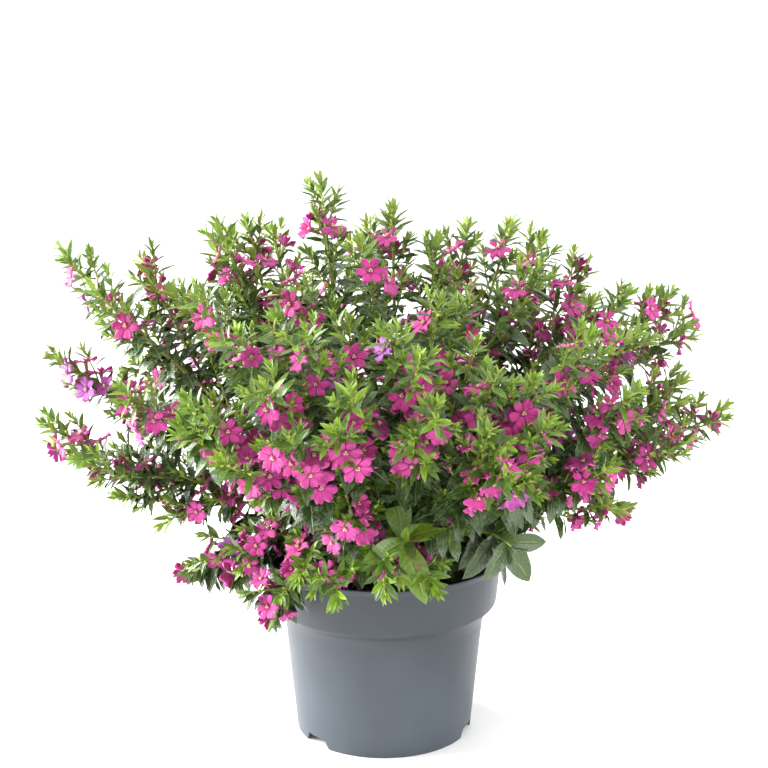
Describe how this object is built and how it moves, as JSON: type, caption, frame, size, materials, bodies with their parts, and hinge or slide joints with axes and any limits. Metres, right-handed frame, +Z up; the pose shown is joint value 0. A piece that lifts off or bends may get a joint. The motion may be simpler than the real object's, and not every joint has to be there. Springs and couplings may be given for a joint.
{
  "type": "potted false heather",
  "caption": "Bushy flowering shrub with small opposite leaves and magenta six-petalled blooms, growing in a tapered round plastic nursery pot.",
  "frame": {"origin": "middle of the pot's underside, on the flat foot that it stands on", "axes": "+Z up along the pot's axis, front of the bush towards -Y, +X to the viewer's right"},
  "size_m": [0.3682, 0.2874, 0.3004],
  "materials": {
    "pot_plastic": "matte grey-blue recycled plastic",
    "potting_mix": "rough dark brown peat and bark crumbs",
    "foliage": "glossy leaves from yellow-green tips to dark green, on brown woody stems",
    "petals": "soft magenta crinkled petals with darker veins"
  },
  "bodies": {
    "root": {"pot": "pot_plastic", "potting_mix": "potting_mix", "leafy_stem_01": "foliage", "leafy_stem_02": "foliage", "leafy_stem_03": "foliage", "leafy_stem_04": "foliage", "leafy_stem_05": "foliage", "leafy_stem_06": "foliage", "leafy_stem_07": "foliage", "leafy_stem_08": "foliage", "leafy_stem_09": "foliage", "leafy_stem_10": "foliage", "leafy_stem_11": "foliage", "leafy_stem_12": "foliage", "leafy_stem_13": "foliage", "leafy_stem_14": "foliage", "leafy_stem_15": "foliage", "leafy_stem_16": "foliage", "leafy_stem_17": "foliage", "leafy_stem_18": "foliage", "leafy_stem_19": "foliage", "leafy_stem_20": "foliage", "leafy_stem_21": "foliage", "leafy_stem_22": "foliage", "leafy_stem_23": "foliage", "leafy_stem_24": "foliage", "leafy_stem_25": "foliage", "leafy_stem_26": "foliage", "leafy_stem_27": "foliage", "leafy_stem_28": "foliage", "leafy_stem_29": "foliage", "leafy_stem_30": "foliage", "leafy_stem_31": "foliage", "leafy_stem_32": "foliage", "leafy_stem_33": "foliage", "leafy_stem_34": "foliage", "leafy_stem_35": "foliage", "leafy_stem_36": "foliage", "leafy_stem_37": "foliage", "leafy_stem_38": "foliage", "leafy_stem_39": "foliage", "leafy_stem_40": "foliage", "leafy_stem_41": "foliage", "leafy_stem_42": "foliage", "leafy_stem_43": "foliage", "leafy_stem_44": "foliage", "leafy_stem_45": "foliage", "leafy_stem_46": "foliage"}
  },
  "joints": []
}
